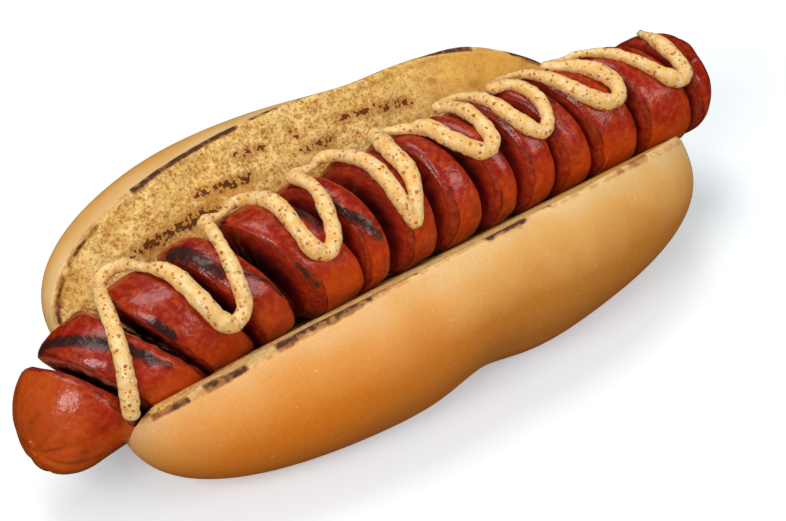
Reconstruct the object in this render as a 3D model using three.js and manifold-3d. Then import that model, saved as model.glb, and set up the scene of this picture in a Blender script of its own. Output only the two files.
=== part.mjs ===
// A hot dog: a split bun opened into a V, a thick grilled sausage cut most of the way through in thirteen
// slanting slits, and one strand of wholegrain mustard laid over it in zigzags.
// Millimetres. +Z is up and Z = 0 is what the bun rests on. X runs along the bun, with the sausage's drooping
// end at -X. The near half of the bun is the one at -Y, the far half the one at +Y.

import * as THREE from 'three';
import { mergeVertices } from 'three/addons/utils/BufferGeometryUtils.js';
import Module from 'manifold-3d';

const wasm = await Module();
wasm.setup();

// Driving dimensions

const GAP = 0.3;                  // clearance kept between two pieces that touch
const ORIGIN = { x: 3.3, y: 1.9 };  // middle of the whole food in the working frame, which becomes x = y = 0

// Each half of the bun is a dome of crust on a flat cut face. On the face, w runs from the hinge up to the rim
// and t is the depth behind it.
const BUN = {
  hingeHeight: 11,                // bottom of the V above the table
  hingeOverlap: 8,                // how far each half runs on under the other, so that the hinge is thick
  domeExponent: 2.6,              // fullness of the crust
  aroundFace: 44,
  upTheDome: 11,
};
const HALVES = {
  near: {
    side: -1, lean: 46, middle: 4.3, halfLength: 74.6, faceExponent: 2.1, rim: 38, thickness: 27.8,
    tuck: 0,                      // how much shorter the half is along the hinge, as a share of its length
    swell: [2.5, 2.5],            // how far the crust bulges past the rim at the -X end and the +X end
    bow: [2.4, -1.5, 0],          // how far behind the flat of the cut the rim lies at -X, in the middle, at +X
    waist: { x: 5, depth: 2.6, width: 11 },          // a pinch in the crust
    rimWaves: [],
  },
  far: {
    side: 1, lean: 44, middle: 0.8, halfLength: 69, faceExponent: 2.3, rim: 43.6, thickness: 27,
    tuck: 0.1,
    swell: [6, 0.5],
    bow: [0, 0, 0],
    waist: { x: -12, depth: 0.8, width: 14 },
    rimWaves: [{ x: 17, height: -1.3, width: 12 }, { x: 49, height: 1.4, width: 9 }],
  },
};

// The sausage is nearly straight in the bun. Its -X end sags past the bun, and its +X tip turns up a little.
const SAUSAGE = {
  radius: 13.5,
  from: -87, to: 93.5,
  middle: 5, halfSpan: 90,        // sideways it bows as a parabola in u = (x - middle) / halfSpan
  side: 0.5, sideTilt: 1.5, sideBow: -3.5,
  height: 29.7,
  sag: { start: -36, run: 50, depth: 10.2, exponent: 1.7 },
  fall: { run: 90, depth: 2.7 },
  tip: { start: 78, run: 15, rise: 2.5 },
  taper: { start: 30, run: 55, depth: 0.35 },
  narrowing: { start: -62, run: 20, depth: 1.1 },    // towards the -X end
  domeLength: 12, domeExponent: 2.3,
  lipWidth: 2.2, lipDepth: 0.7,   // the skin curls in beside each slit
  around: 22,
};

// The slits, from the -X end. x is where the slit crosses the axis and gap its width there. In degrees, yaw is
// how far its near side is swung towards +X, lean how far its top is tipped towards -X, and flare how far each
// wall turns away from the slit's middle.
const SLITS = [
  { x: -70.9, gap: 2.2, yaw: 18, lean: 25, flare: 0 },
  { x: -56.1, gap: 2.0, yaw: 13, lean: 30, flare: 3 },
  { x: -43.3, gap: 2.9, yaw: 14, lean: 23, flare: 4 },
  { x: -31.3, gap: 5.4, yaw: 17, lean: 15, flare: 2 },
  { x: -14.8, gap: 1.4, yaw: 16, lean: 8, flare: 8 },
  { x: -4.8, gap: 5.0, yaw: 13, lean: 1, flare: 2 },
  { x: 7.4, gap: 3.7, yaw: 12, lean: 0, flare: 3 },
  { x: 19.7, gap: 4.2, yaw: 13, lean: 3, flare: 3 },
  { x: 29.4, gap: 3.5, yaw: 13, lean: 1, flare: 3 },
  { x: 39.2, gap: 2.5, yaw: 15, lean: 0, flare: 1 },
  { x: 49.6, gap: 2.3, yaw: 15, lean: 5, flare: 1 },
  { x: 64.0, gap: 3.2, yaw: 14, lean: 3, flare: 2 },
  { x: 80.3, gap: 2.5, yaw: 14, lean: 5, flare: 1 },
];
// The meat that the slits leave whole
const SPINE = { radius: 6.2, below: 6.6, from: -78, to: 84, around: 12 };

const MUSTARD = {
  radius: 1.75,
  sink: 0.8,                      // how much of the strand's round section is flattened where it lies
  step: 3,
  around: 7,
};
// The strand's turning points, each [x, degrees round the sausage, height above the skin]. 90 degrees is its
// crest, 180 its near side and 45 the far edge. Each run starts where the last one ends.
const STRAND = [
  [[-69.9, 158, 0], [-68.3, 126, 0], [-65.5, 93, 0], [-63.2, 70, 0], [-60.8, 46, 0.2], [-58, 40, 1.2]],
  [[-58, 40, 1.2], [-55.5, 44, 1.0], [-53, 72, 0], [-51.2, 95, 0], [-50.5, 128, 0], [-49, 146, 0], [-46, 156, 0]],
  [[-46, 156, 0], [-42.3, 152, 0], [-39.6, 130, 0], [-37.4, 95, 0], [-35.4, 60, 0], [-33.5, 46, 0.2], [-31, 42, 0.4]],
  [[-31, 42, 0.4], [-27, 44, 0.4], [-23.6, 58, 0], [-22.4, 84, 0], [-22.7, 118, 0], [-21.5, 139, 0], [-19.4, 146, 0]],
  [[-19.4, 146, 0], [-16.7, 138, 0], [-15, 117, 0], [-13.4, 88, 0], [-12.7, 58, 0], [-11.5, 47, 0.1], [-9.5, 45, 0.2]],
  [[-9.5, 45, 0.2], [-4.5, 46, 0.7], [-1, 62, 0.1], [0.8, 86, 0], [1.4, 110, 0], [1.2, 136, 0], [1.8, 156, 0]],
  [[1.8, 156, 0], [4, 142, 0], [5.3, 118, 0], [6.2, 88, 0], [8, 62, 0], [10, 48, 0.7], [12.6, 48, 0.5]],
  [[12.6, 48, 0.5], [16, 64, 0], [18.6, 82, 0], [20.6, 102, 0], [22.5, 123, 0], [24.6, 133, 0], [26.7, 130, 0]],
  [[26.7, 130, 0], [28.4, 114, 0], [29, 92, 0], [29.2, 70, 0], [28.6, 52, 0.3], [30.5, 46, 0.8]],
  [[30.5, 46, 0.8], [34, 54, 0.4], [36, 80, 0], [36.9, 108, 0], [38.6, 129, 0], [40.6, 135, 0], [42.6, 130, 0]],
  [[42.6, 130, 0], [44.2, 114, 0], [44.6, 88, 0], [44.4, 64, 0], [43.8, 50, 0.4], [46, 48, 0.7]],
  [[46, 48, 0.7], [49.8, 62, 0], [52.2, 92, 0], [55.6, 118, 0], [58.8, 134, 0], [61.6, 134, 0]],
  [[61.6, 134, 0], [63.9, 122, 0], [63.2, 104, 0], [60.2, 86, 0], [55.6, 76, 0], [56.5, 68, 0.5]],
  [[56.5, 68, 0.5], [63, 68, 0.2], [69.5, 88, 0], [73.2, 110, 0], [76.4, 132, 0], [79.5, 144, 0]],
  [[79.5, 144, 0], [82.2, 138, 0], [82.8, 122, 0], [82.2, 100, 0], [81.5, 74, 0]],
];

// Helpers

const radians = THREE.MathUtils.degToRad;

// A closed body through rings of points, each ring going round the same way, with a fan over the first and the
// last ring.
function bodyThroughRings(rings) {
  const around = rings[0].length;
  const points = rings.flat();
  const index = [];
  for (let r = 0; r + 1 < rings.length; r += 1) {
    for (let i = 0; i < around; i += 1) {
      const j = (i + 1) % around;
      const [a, b, c, d] = [r * around + i, r * around + j, (r + 1) * around + j, (r + 1) * around + i];
      index.push(a, b, c, a, c, d);
    }
  }
  const capRing = (ring, first, flipped) => {
    const middle = ring.reduce((sum, p) => sum.add(p), new THREE.Vector3()).divideScalar(around);
    points.push(middle);
    for (let i = 0; i < around; i += 1) {
      const j = (i + 1) % around;
      index.push(points.length - 1, first + (flipped ? i : j), first + (flipped ? j : i));
    }
  };
  capRing(rings[0], 0, false);
  capRing(rings.at(-1), (rings.length - 1) * around, true);
  const geometry = new THREE.BufferGeometry().setFromPoints(points);
  geometry.setIndex(index);
  return geometry;
}

function signedVolume(geometry) {
  const position = geometry.getAttribute('position');
  const index = geometry.getIndex();
  const [a, b, c] = [new THREE.Vector3(), new THREE.Vector3(), new THREE.Vector3()];
  let volume = 0;
  for (let i = 0; i < index.count; i += 3) {
    a.fromBufferAttribute(position, index.getX(i));
    b.fromBufferAttribute(position, index.getX(i + 1));
    c.fromBufferAttribute(position, index.getX(i + 2));
    volume += a.dot(b.cross(c)) / 6;
  }
  return volume;
}

function toSolid(geometry) {
  const bare = geometry.clone();
  bare.deleteAttribute('normal');
  bare.deleteAttribute('uv');
  const merged = mergeVertices(bare, 1e-4);
  const triVerts = Uint32Array.from(merged.getIndex().array);
  if (signedVolume(merged) < 0) triVerts.reverse();
  const vertProperties = Float32Array.from(merged.getAttribute('position').array);
  return new wasm.Manifold(new wasm.Mesh({ numProp: 3, vertProperties, triVerts }));
}

function toGeometry(solid) {
  const mesh = solid.getMesh();
  const geometry = new THREE.BufferGeometry();
  geometry.setAttribute('position', new THREE.BufferAttribute(Float32Array.from(mesh.vertProperties), 3));
  geometry.setIndex(new THREE.BufferAttribute(Uint32Array.from(mesh.triVerts), 1));
  return geometry;
}

const fuse = (solids) => solids.reduce((sum, solid) => sum.add(solid));

// cos and sin of an angle on a superellipse of the given exponent
function superCircle(angle, exponent) {
  const power = (v) => Math.sign(v) * Math.abs(v) ** (2 / exponent);
  return [power(Math.cos(angle)), power(Math.sin(angle))];
}

// The sausage's axis and radius at x

function axisAt(x) {
  const { start, run, depth, exponent } = SAUSAGE.sag;
  const u = (x - SAUSAGE.middle) / SAUSAGE.halfSpan;
  const sag = depth * (Math.max(0, start - x) / run) ** exponent;
  const fall = SAUSAGE.fall.depth * (Math.max(0, x) / SAUSAGE.fall.run) ** 2;
  const rise = SAUSAGE.tip.rise * (Math.max(0, x - SAUSAGE.tip.start) / SAUSAGE.tip.run) ** 2;
  return {
    y: SAUSAGE.side + SAUSAGE.sideTilt * u + SAUSAGE.sideBow * u * u,
    z: SAUSAGE.height - sag - fall + rise,
  };
}

function radiusAt(x) {
  const fromEnd = Math.max(0, Math.min(x - SAUSAGE.from, SAUSAGE.to - x));
  const d = Math.max(0, 1 - fromEnd / SAUSAGE.domeLength);
  const dome = (1 - d ** SAUSAGE.domeExponent) ** (1 / SAUSAGE.domeExponent);
  const taper = SAUSAGE.taper.depth * (Math.max(0, x - SAUSAGE.taper.start) / SAUSAGE.taper.run) ** 2;
  const narrowing = SAUSAGE.narrowing.depth
    * THREE.MathUtils.smoothstep(SAUSAGE.narrowing.start - x, 0, SAUSAGE.narrowing.run);
  return (SAUSAGE.radius - taper - narrowing) * dome;
}

function onSausage(x, angle, radius) {
  const axis = axisAt(x);
  return new THREE.Vector3(x, axis.y + radius * Math.cos(angle), axis.z + radius * Math.sin(angle));
}

// Bun

// One half: the cut face's outline is a superellipse in (x, w), and rings of it shrink to the crown of the dome
// while they go back in t. The crust swells past the rim on the way.
function bunHalf(half) {
  const halfWidth = (half.rim + BUN.hingeOverlap) / 2;
  const wMiddle = half.rim - halfWidth;
  const lean = radians(half.lean);
  const [bowFrom, bowMiddle, bowTo] = half.bow;
  const rings = [];
  for (let k = 0; k <= BUN.upTheDome; k += 1) {
    const s = k / BUN.upTheDome * 0.985;
    const [shrink, depth] = superCircle(s * Math.PI / 2, BUN.domeExponent);
    const ring = [];
    for (let i = 0; i < BUN.aroundFace; i += 1) {
      const [cx, cw] = superCircle(2 * Math.PI * i / BUN.aroundFace, half.faceExponent);
      const u = cx * shrink;
      const rimShare = Math.max(0, cw);
      const swell = THREE.MathUtils.lerp(half.swell[0], half.swell[1], THREE.MathUtils.smoothstep(u, -0.5, 0.5));
      const bulge = swell * Math.sin(Math.PI * Math.min(1, s / 0.7));
      const tucked = half.halfLength * (1 - half.tuck * Math.max(0, -cw));
      const x = half.middle + tucked * u + cx * rimShare * bulge;
      const wave = half.rimWaves.reduce((sum, v) => sum + v.height * Math.exp(-(((x - v.x) / v.width) ** 2)), 0);
      const w = wMiddle + halfWidth * cw * shrink + rimShare * (bulge + wave * shrink);
      const bow = bowMiddle + ((u < 0 ? bowFrom : bowTo) - bowMiddle) * u * u;
      const pinch = half.waist.depth * Math.exp(-(((x - half.waist.x) / half.waist.width) ** 2));
      const t = (half.thickness - pinch) * depth + bow * Math.max(0, w / half.rim) * (1 - depth);
      const y = w * Math.sin(lean) + t * Math.cos(lean);
      const z = BUN.hingeHeight + w * Math.cos(lean) - t * Math.sin(lean);
      ring.push(new THREE.Vector3(x, half.side * y, Math.max(z, 0)));
    }
    rings.push(ring);
  }
  return toSolid(bodyThroughRings(rings));
}

// The smooth sausage without its slits, grown by a clearance, which presses its seat into the bun
function sausageEnvelope(clearance) {
  const steps = 40;
  const rings = [];
  for (let k = 0; k <= steps; k += 1) {
    const x = THREE.MathUtils.lerp(SAUSAGE.from, SAUSAGE.to, 0.5 - 0.5 * Math.cos(Math.PI * k / steps));
    const ring = [];
    for (let i = 0; i < SAUSAGE.around; i += 1) {
      ring.push(onSausage(x, 2 * Math.PI * i / SAUSAGE.around, radiusAt(x) + clearance));
    }
    rings.push(ring);
  }
  return toSolid(bodyThroughRings(rings));
}

function bun() {
  return bunHalf(HALVES.near).add(bunHalf(HALVES.far)).subtract(sausageEnvelope(GAP));
}

// Sausage

// x of a slit's wall at a place on or in the sausage, given as an angle and a distance from the axis. Wall -1 is
// the one at -X.
function slitWallX(slit, wall, angle, radius) {
  const yaw = Math.tan(radians(slit.yaw));
  const lean = Math.tan(radians(slit.lean - wall * slit.flare));
  return slit.x + wall * slit.gap / 2 - yaw * radius * Math.cos(angle) - lean * radius * Math.sin(angle);
}

// One slice between two slits. Its skin is a band that curls in at both lips, and an end slice has the dome of
// the sausage's end in place of a lip.
function slice(before, after) {
  const lipsAt = [0, 0.08, 0.22, 0.78, 0.92, 1];
  const domeAt = [0, 0.02, 0.07, 0.16, 0.32, 0.6, 0.88, 1];
  let stations = lipsAt;
  if (!before) stations = domeAt;
  if (!after) stations = domeAt.map((v) => 1 - v).reverse();
  const rings = stations.map((s) => {
    const ring = [];
    for (let i = 0; i < SAUSAGE.around; i += 1) {
      const angle = 2 * Math.PI * i / SAUSAGE.around;
      const from = before ? slitWallX(before, 1, angle, SAUSAGE.radius) : SAUSAGE.from;
      const to = after ? slitWallX(after, -1, angle, SAUSAGE.radius) : SAUSAGE.to;
      const x = THREE.MathUtils.lerp(from, to, s);
      const lipBefore = before ? Math.max(0, 1 - (x - from) / SAUSAGE.lipWidth) : 0;
      const lipAfter = after ? Math.max(0, 1 - (to - x) / SAUSAGE.lipWidth) : 0;
      const curl = SAUSAGE.lipDepth * (lipBefore ** 2 + lipAfter ** 2);
      ring.push(onSausage(x, angle, Math.max(radiusAt(x) - curl, 0.3)));
    }
    return ring;
  });
  return toSolid(bodyThroughRings(rings));
}

function spine() {
  const steps = 16;
  const rings = [];
  for (let k = 0; k <= steps; k += 1) {
    const x = THREE.MathUtils.lerp(SPINE.from, SPINE.to, k / steps);
    const axis = axisAt(x);
    const scale = radiusAt(x) / SAUSAGE.radius;
    const ring = [];
    for (let i = 0; i < SPINE.around; i += 1) {
      const angle = 2 * Math.PI * i / SPINE.around;
      const y = axis.y + SPINE.radius * scale * Math.cos(angle);
      const z = axis.z + scale * (SPINE.radius * Math.sin(angle) - SPINE.below);
      ring.push(new THREE.Vector3(x, y, z));
    }
    rings.push(ring);
  }
  return toSolid(bodyThroughRings(rings));
}

function sausage() {
  const ends = [null, ...SLITS, null];
  const slices = [];
  for (let k = 0; k + 1 < ends.length; k += 1) slices.push(slice(ends[k], ends[k + 1]));
  return fuse([...slices, spine()]);
}

// Mustard

// One run of the strand as a tube with rounded ends through its turning points. Its section is a circle that is
// flat underneath, where it lies on the skin.
function strandRun(turningPoints) {
  const lift = MUSTARD.radius - MUSTARD.sink;
  const curve = new THREE.CatmullRomCurve3(turningPoints.map(([x, degrees, height]) => (
    onSausage(x, radians(degrees), radiusAt(x) + GAP + lift + height))), false, 'centripetal');
  const steps = Math.round(curve.getLength() / MUSTARD.step);
  const stations = [];
  for (let k = 0; k <= steps; k += 1) stations.push([k / steps, 1, 0]);
  const capped = [[0, 0.6, -0.8], ...stations, [1, 0.6, 0.8]];
  const rings = capped.map(([share, scale, overrun]) => {
    const point = curve.getPointAt(share);
    const tangent = curve.getTangentAt(share);
    point.addScaledVector(tangent, overrun * MUSTARD.radius);
    const axis = axisAt(point.x);
    const outwards = new THREE.Vector3(0, point.y - axis.y, point.z - axis.z).normalize();
    const across = new THREE.Vector3().crossVectors(tangent, outwards).normalize();
    const up = new THREE.Vector3().crossVectors(across, tangent).normalize();
    const ring = [];
    for (let i = 0; i < MUSTARD.around; i += 1) {
      const angle = 2 * Math.PI * (i + 0.5) / MUSTARD.around;
      const upBy = Math.max(-lift, scale * MUSTARD.radius * Math.sin(angle));
      ring.push(point.clone()
        .addScaledVector(across, scale * MUSTARD.radius * Math.cos(angle))
        .addScaledVector(up, upBy));
    }
    return ring;
  });
  return toSolid(bodyThroughRings(rings));
}

function mustard() {
  return fuse(STRAND.map(strandRun));
}

// The food

function piece(name, solid, material) {
  const mesh = new THREE.Mesh(toGeometry(solid), new THREE.MeshStandardMaterial(material));
  mesh.name = name;
  return mesh;
}

const hotDog = new THREE.Group();
hotDog.add(piece('bun', bun(), { color: 0xd9a35a, roughness: 0.65, metalness: 0 }));
hotDog.add(piece('sausage', sausage(), { color: 0x96290f, roughness: 0.3, metalness: 0 }));
hotDog.add(piece('mustard', mustard(), { color: 0xdfb765, roughness: 0.35, metalness: 0 }));
hotDog.position.set(-ORIGIN.x, -ORIGIN.y, 0);

export default hotDog;
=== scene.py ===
# %% [markdown]
# # A grilled hot dog
# The food has three parts: a split bun of soft bread, a slashed and grilled sausage, and a strand of
# wholegrain mustard. Each one is worked out here as a surface with numpy, from the same sizes as the plain
# solids in the frame, and then takes the plain solid's place. Lengths in the formulas are millimetres, and
# the meshes are in metres.

import bpy
import numpy as np
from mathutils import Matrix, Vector


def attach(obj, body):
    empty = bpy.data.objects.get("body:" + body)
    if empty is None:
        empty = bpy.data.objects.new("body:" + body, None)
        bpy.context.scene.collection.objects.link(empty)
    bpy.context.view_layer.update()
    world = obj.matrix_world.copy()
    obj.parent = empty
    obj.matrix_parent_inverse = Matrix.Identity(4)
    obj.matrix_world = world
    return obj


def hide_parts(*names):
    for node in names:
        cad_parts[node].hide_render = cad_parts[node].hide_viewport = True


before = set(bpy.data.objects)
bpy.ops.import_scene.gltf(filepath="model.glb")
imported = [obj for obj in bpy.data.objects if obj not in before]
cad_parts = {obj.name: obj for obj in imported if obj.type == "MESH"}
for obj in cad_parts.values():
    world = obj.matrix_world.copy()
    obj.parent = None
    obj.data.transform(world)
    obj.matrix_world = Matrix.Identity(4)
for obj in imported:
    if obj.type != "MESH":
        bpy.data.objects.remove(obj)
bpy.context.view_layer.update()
MM = 0.001
ORIGIN = np.array([3.3, 1.9, 0.0])  # where the frame's origin lies in the working millimetres used below

# %% [markdown]
# ## The camera
# The photograph looks down at the bun from its front left. A short tele lens at arm's length gives the same
# slight perspective, and the camera comes first so that every later test render shows the right view.

# %% Camera
AZIMUTH = np.radians(-38)
ELEVATION = np.radians(40)
DISTANCE = 394
AIM = np.array([0, -7.8, 23])
SENSOR = 36
LENS = 85.4

backward = np.array([
    np.sin(AZIMUTH) * np.cos(ELEVATION),
    -np.cos(AZIMUTH) * np.cos(ELEVATION),
    np.sin(ELEVATION),
])
camera_data = bpy.data.cameras.new("camera")
camera_data.sensor_width = SENSOR
camera_data.lens = LENS
camera_data.clip_start = 0.01
camera = bpy.data.objects.new("camera", camera_data)
bpy.context.scene.collection.objects.link(camera)
camera.location = Vector((AIM - ORIGIN + backward * DISTANCE) * MM)
camera.rotation_euler = Vector(backward).to_track_quat("Z", "Y").to_euler()
bpy.context.scene.camera = camera
print("camera at", camera.location[:])

# %% [markdown]
# ## Helpers for shapes
# Every surface below is a grid of points with a few numbers on each point, such as how deep it lies behind
# the cut or how charred it is. The materials read those numbers as attributes, so colour and shape always
# agree.


# %% Smooth steps and superellipses
def smoothstep(low, high, value):
    """0 below low, 1 above high, and 3 t^2 - 2 t^3 in between, with t the share of the way."""
    t = np.clip((value - low) / (high - low), 0, 1)
    return t * t * (3 - 2 * t)


def superellipse(angle, exponent):
    """cos and sin of the angle on a superellipse: sign(v) |v|^(2 / exponent)."""
    cosine = np.cos(angle)
    sine = np.sin(angle)
    power = 2 / exponent
    return np.sign(cosine) * np.abs(cosine) ** power, np.sign(sine) * np.abs(sine) ** power


def soft_floor(value, softness):
    """The larger of value and 0 with a rounded corner: (v + sqrt(v^2 + softness^2)) / 2."""
    return (value + np.sqrt(value**2 + softness**2)) / 2


# %% Random fields
def waves(points, wavelength, seed, count=36):
    """A smooth random field of standard deviation 1: the sum of cosines with random directions and phases,
    whose wavelengths lie around the given one."""
    rng = np.random.default_rng(seed)
    direction = rng.normal(size=(count, points.shape[-1]))
    direction /= np.linalg.norm(direction, axis=1, keepdims=True)
    pitch = 2 * np.pi / (wavelength * rng.uniform(0.7, 1.4, count))
    phase = rng.uniform(0, 2 * np.pi, count)
    return np.cos(points @ (direction * pitch[:, None]).T + phase).sum(-1) * np.sqrt(2 / count)


def cells(points, size, seed):
    """Distance to the nearest of many scattered centres, one in each square or cube of the given size,
    measured in sizes (cellular noise). Each centre's place in its cell is the fraction of a large sine."""
    base = np.floor(points / size)
    keys = np.array([[127.1, 311.7, 74.7], [269.5, 183.3, 246.1], [113.5, 271.9, 124.6]])
    dimensions = points.shape[-1]
    nearest = np.full(points.shape[:-1], 9.0)
    for step in np.ndindex((3,) * dimensions):
        cell = base + np.array(step) - 1
        inside = np.stack([
            np.sin(cell @ keys[k, :dimensions] + seed) * 43758.5453 % 1 for k in range(dimensions)
        ], -1)
        nearest = np.minimum(nearest, np.linalg.norm(cell + inside - points / size, axis=-1))
    return nearest


# %% From arrays to a mesh object
def make_object(name, points, quads, triangles, fields):
    """A smooth-shaded object from millimetre points, quads and triangles as index arrays, and one number per
    point for each named field. Where the enclosed volume comes out negative, all faces are turned round."""
    first, second, third = np.concatenate([triangles, quads[:, [0, 1, 2]], quads[:, [0, 2, 3]]]).T
    volume = np.einsum("ij,ij->i", points[first], np.cross(points[second], points[third])).sum()
    if volume < 0:
        quads = quads[:, ::-1]
        triangles = triangles[:, ::-1]
    mesh = bpy.data.meshes.new(name)
    mesh.vertices.add(len(points))
    mesh.vertices.foreach_set("co", ((points - ORIGIN) * MM).ravel())
    corners = np.concatenate([quads.ravel(), triangles.ravel()]).astype(np.int32)
    starts = np.concatenate([
        np.arange(len(quads)) * 4,
        len(quads) * 4 + np.arange(len(triangles)) * 3,
    ]).astype(np.int32)
    mesh.loops.add(len(corners))
    mesh.loops.foreach_set("vertex_index", corners)
    mesh.polygons.add(len(starts))
    mesh.polygons.foreach_set("loop_start", starts)
    mesh.polygons.foreach_set("use_smooth", np.ones(len(starts), bool))
    for field, values in fields.items():
        attribute = mesh.attributes.new(field, "FLOAT", "POINT")
        attribute.data.foreach_set("value", np.asarray(values, np.float32))
    mesh.update()
    mesh.validate()
    thing = bpy.data.objects.new(name, mesh)
    bpy.context.scene.collection.objects.link(thing)
    return thing


def ring_quads(rings, around, first=0):
    """Index quads between neighbouring rings of points that are stored one after another."""
    r, i = np.meshgrid(np.arange(rings - 1), np.arange(around), indexing="ij")
    j = (i + 1) % around
    quads = np.stack([r * around + i, r * around + j, (r + 1) * around + j, (r + 1) * around + i], -1)
    return quads.reshape(-1, 4) + first


def fan(ring, pole):
    """Triangles from a closed ring of point numbers to one pole."""
    return np.stack([ring, np.roll(ring, -1), np.full(len(ring), pole)], -1)


def push_along_normals(thing, heights):
    """Moves each point of an object by its height in millimetres along its own normal."""
    mesh = thing.data
    places = np.zeros(len(mesh.vertices) * 3)
    normals = np.zeros(len(mesh.vertices) * 3)
    mesh.vertices.foreach_get("co", places)
    mesh.vertices.foreach_get("normal", normals)
    mesh.vertices.foreach_set("co", places + normals * np.repeat(heights, 3) * MM)
    mesh.update()


def points_of(thing):
    """An object's points, back in working millimetres."""
    places = np.zeros(len(thing.data.vertices) * 3)
    thing.data.vertices.foreach_get("co", places)
    return places.reshape(-1, 3) / MM + ORIGIN


def keep_modified(thing):
    """Puts the result of an object's modifiers into its mesh and takes the modifiers off."""
    graph = bpy.context.evaluated_depsgraph_get()
    mesh = bpy.data.meshes.new_from_object(thing.evaluated_get(graph))
    thing.modifiers.clear()
    thing.data = mesh


def unite(thing, other):
    """Joins two overlapping closed objects into one closed mesh and removes the second."""
    join = thing.modifiers.new("join", "BOOLEAN")
    join.operation = "UNION"
    join.solver = "MANIFOLD"
    join.object = other
    keep_modified(thing)
    bpy.data.objects.remove(other)
    thing.data.polygons.foreach_set("use_smooth", np.ones(len(thing.data.polygons), bool))
    return thing


# %% [markdown]
# ## The line of the sausage
# The sausage's axis decides where everything else goes: the bun is pressed by it, the slits cross it and the
# mustard lies on it. It is nearly straight in the bun, sags where it sticks out at the left, and turns up a
# little at the right tip. Sums of powers of x describe that with a handful of numbers.

# %% Axis and radius
SAUSAGE_RADIUS = 13.5
SAUSAGE_FROM = -87
SAUSAGE_TO = 93.5


def axis_at(x):
    """y and z of the axis. y = 0.5 + 1.5 u - 3.5 u^2 with u = (x - 5) / 90, and z is 29.7 less a sag towards
    -X and a slight fall towards +X, plus a rise at the tip."""
    u = (x - 5) / 90
    sag = 9.4 * (np.maximum(0, -36 - x) / 50) ** 1.7
    fall = 2.7 * (np.maximum(0, x) / 90) ** 2
    rise = 2.5 * (np.maximum(0, x - 78) / 15) ** 2
    return 0.5 + 1.5 * u - 3.5 * u**2, 29.7 - sag - fall + rise


def radius_at(x):
    """The radius tapers a little to +X, narrows towards -X and closes in a superelliptic dome at both
    ends."""
    dome_length = 12
    dome_exponent = 2.3
    from_end = np.clip(np.minimum(x - SAUSAGE_FROM, SAUSAGE_TO - x), 0, dome_length)
    dome = (1 - (1 - from_end / dome_length) ** dome_exponent) ** (1 / dome_exponent)
    taper = 0.35 * (np.maximum(0, x - 30) / 55) ** 2
    narrowing = 1.1 * smoothstep(0, 20, -62 - x)
    return (SAUSAGE_RADIUS - taper - narrowing) * dome


def on_sausage(x, angle, radius):
    """The point at x, an angle round the axis (a quarter turn is the crest, a half turn the near side) and a
    distance from the axis."""
    y, z = axis_at(x)
    return np.stack([x + 0 * angle, y + radius * np.cos(angle), z + radius * np.sin(angle)], -1)


# %% [markdown]
# ## The bun
# Each half is a dome of crust on a cut face of crumb, and the two domes run into each other at the hinge.
# The cut face is laid out in columns that cross it from the hinge side to the rim, because pores need evenly
# spaced points. The dome carries on from the same rim, ring by ring, up to its crown.

# %% Sizes of the halves
HINGE_HEIGHT = 11
HINGE_OVERLAP = 8
DOME_EXPONENT = 2.6
SEAT_GAP = 0.15
SEAT_SOFTNESS = 0.5
TABLE_SOFTNESS = 0.9
NEAR_HALF = {
    "side": -1, "lean": 46, "middle": 4.3, "half_length": 74.6, "exponent": 2.1, "rim": 38, "thickness": 27.8,
    "tuck": 0, "swell": (2.5, 2.5), "bow": (2.4, -1.5, 0), "waist": (5, 2.6, 11), "waves": [],
    "edge": 1.7, "columns": 300, "across": 44,
}
FAR_HALF = {
    "side": 1, "lean": 44, "middle": 0.8, "half_length": 69, "exponent": 2.3, "rim": 43.6, "thickness": 27,
    "tuck": 0.1, "swell": (6, 0.5), "bow": (0, 0, 0), "waist": (-12, 0.8, 14),
    "waves": [(17, -1.3, 12), (49, 1.4, 9)],
    "edge": 1.1, "columns": 300, "across": 84,
}
CRUST_RINGS = 34
LAST_RING = 0.985  # how far along from rim to crown


# %% Shape of one half
def even_angles(half):
    """Angles that put points at equal distances round half of the cut face's outline, from +X over the rim
    to -X."""
    dense = np.linspace(0, np.pi, 4000)
    cx, cw = superellipse(dense, half["exponent"])
    width = (half["rim"] + HINGE_OVERLAP) / 2
    steps = np.hypot(np.diff(cx * half["half_length"]), np.diff(cw * width))
    length = np.concatenate([[0], np.cumsum(steps)])
    return np.interp(np.linspace(0, length[-1], half["columns"] + 1), length, dense)


def crust_points(half, angle, s):
    """x, w and t of the crust. w runs from the hinge up to the rim on the cut face, and t is the depth
    behind it. While s goes from 0 to 1, the outline shrinks and t grows along a superellipse, and the crust
    swells past the rim as half a sine wave."""
    width = (half["rim"] + HINGE_OVERLAP) / 2
    cx, cw = superellipse(angle, half["exponent"])
    shrink, depth = superellipse(s * np.pi / 2, DOME_EXPONENT)
    u = cx * shrink
    up = np.maximum(0, cw)
    swell = half["swell"][0] + (half["swell"][1] - half["swell"][0]) * smoothstep(-0.5, 0.5, u)
    bulge = swell * np.sin(np.pi * np.minimum(1, s / 0.7))
    x = half["middle"] + half["half_length"] * (1 - half["tuck"] * np.maximum(0, -cw)) * u + cx * up * bulge
    wave = sum(height * np.exp(-(((x - place) / reach) ** 2)) for place, height, reach in half["waves"])
    w = half["rim"] - width + width * cw * shrink + up * (bulge + wave * shrink)
    pinch = half["waist"][1] * np.exp(-(((x - half["waist"][0]) / half["waist"][2]) ** 2))
    t = (half["thickness"] - pinch) * depth + bow_at(half, u, w) * (1 - depth)
    return x, w, t


def bow_at(half, u, w):
    """How far the cut bends back from its plane: a parabola along the bun that grows from the hinge to the
    rim."""
    left, middle, right = half["bow"]
    return (middle + (np.where(u < 0, left, right) - middle) * u**2) * np.maximum(0, w / half["rim"])


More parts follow.
